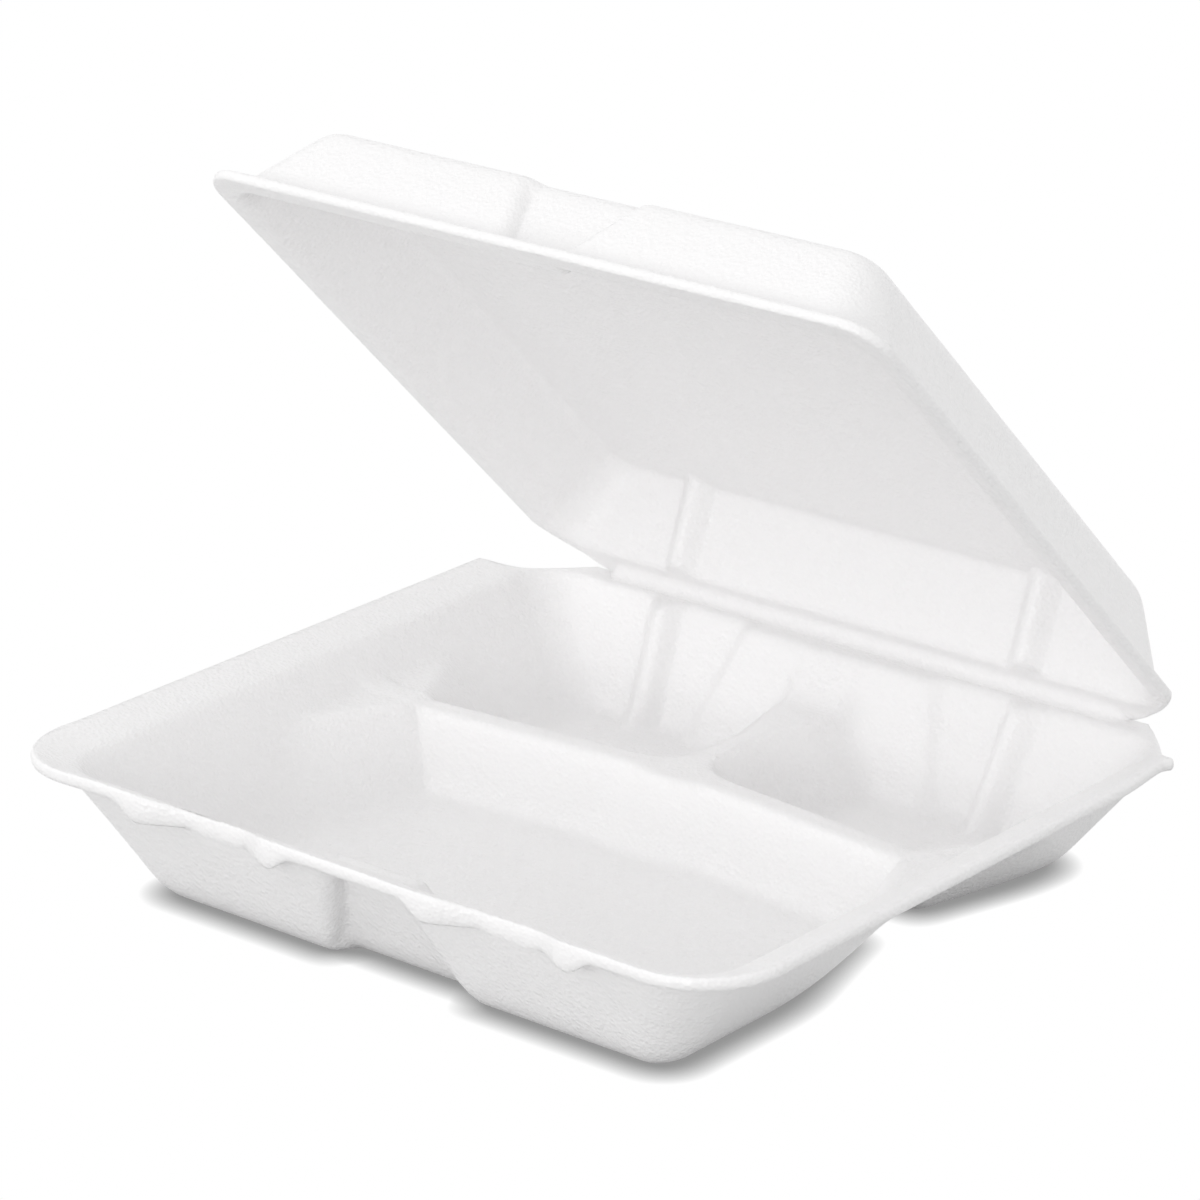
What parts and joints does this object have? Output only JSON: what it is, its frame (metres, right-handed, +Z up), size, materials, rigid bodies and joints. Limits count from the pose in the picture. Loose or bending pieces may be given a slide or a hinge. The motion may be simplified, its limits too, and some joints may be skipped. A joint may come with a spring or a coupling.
{
  "type": "foam clamshell food container",
  "caption": "White foam clamshell carry-out container: divided tray with a flared rim and latch notches, and a shallow lid that swings open on a pressed hinge.",
  "frame": {"origin": "centre of the tray's footprint, on the table", "axes": "+X to the right along the front edge, +Y back towards the hinge, +Z up"},
  "size_m": [0.203, 0.182, 0.1591],
  "materials": {
    "foam": "satin white foam sheet with a fine cell grain"
  },
  "bodies": {
    "tray_body": {"base_tray": "foam"},
    "lid_body": {"lid": "foam"}
  },
  "joints": [
    {"name": "lid_hinge", "type": "hinge", "parent": "tray_body", "child": "lid_body", "pos_m": [0, 0.0903, 0.0296], "axis": [-1, 0, 0], "range_deg": [-44.9, 134.4]}
  ]
}
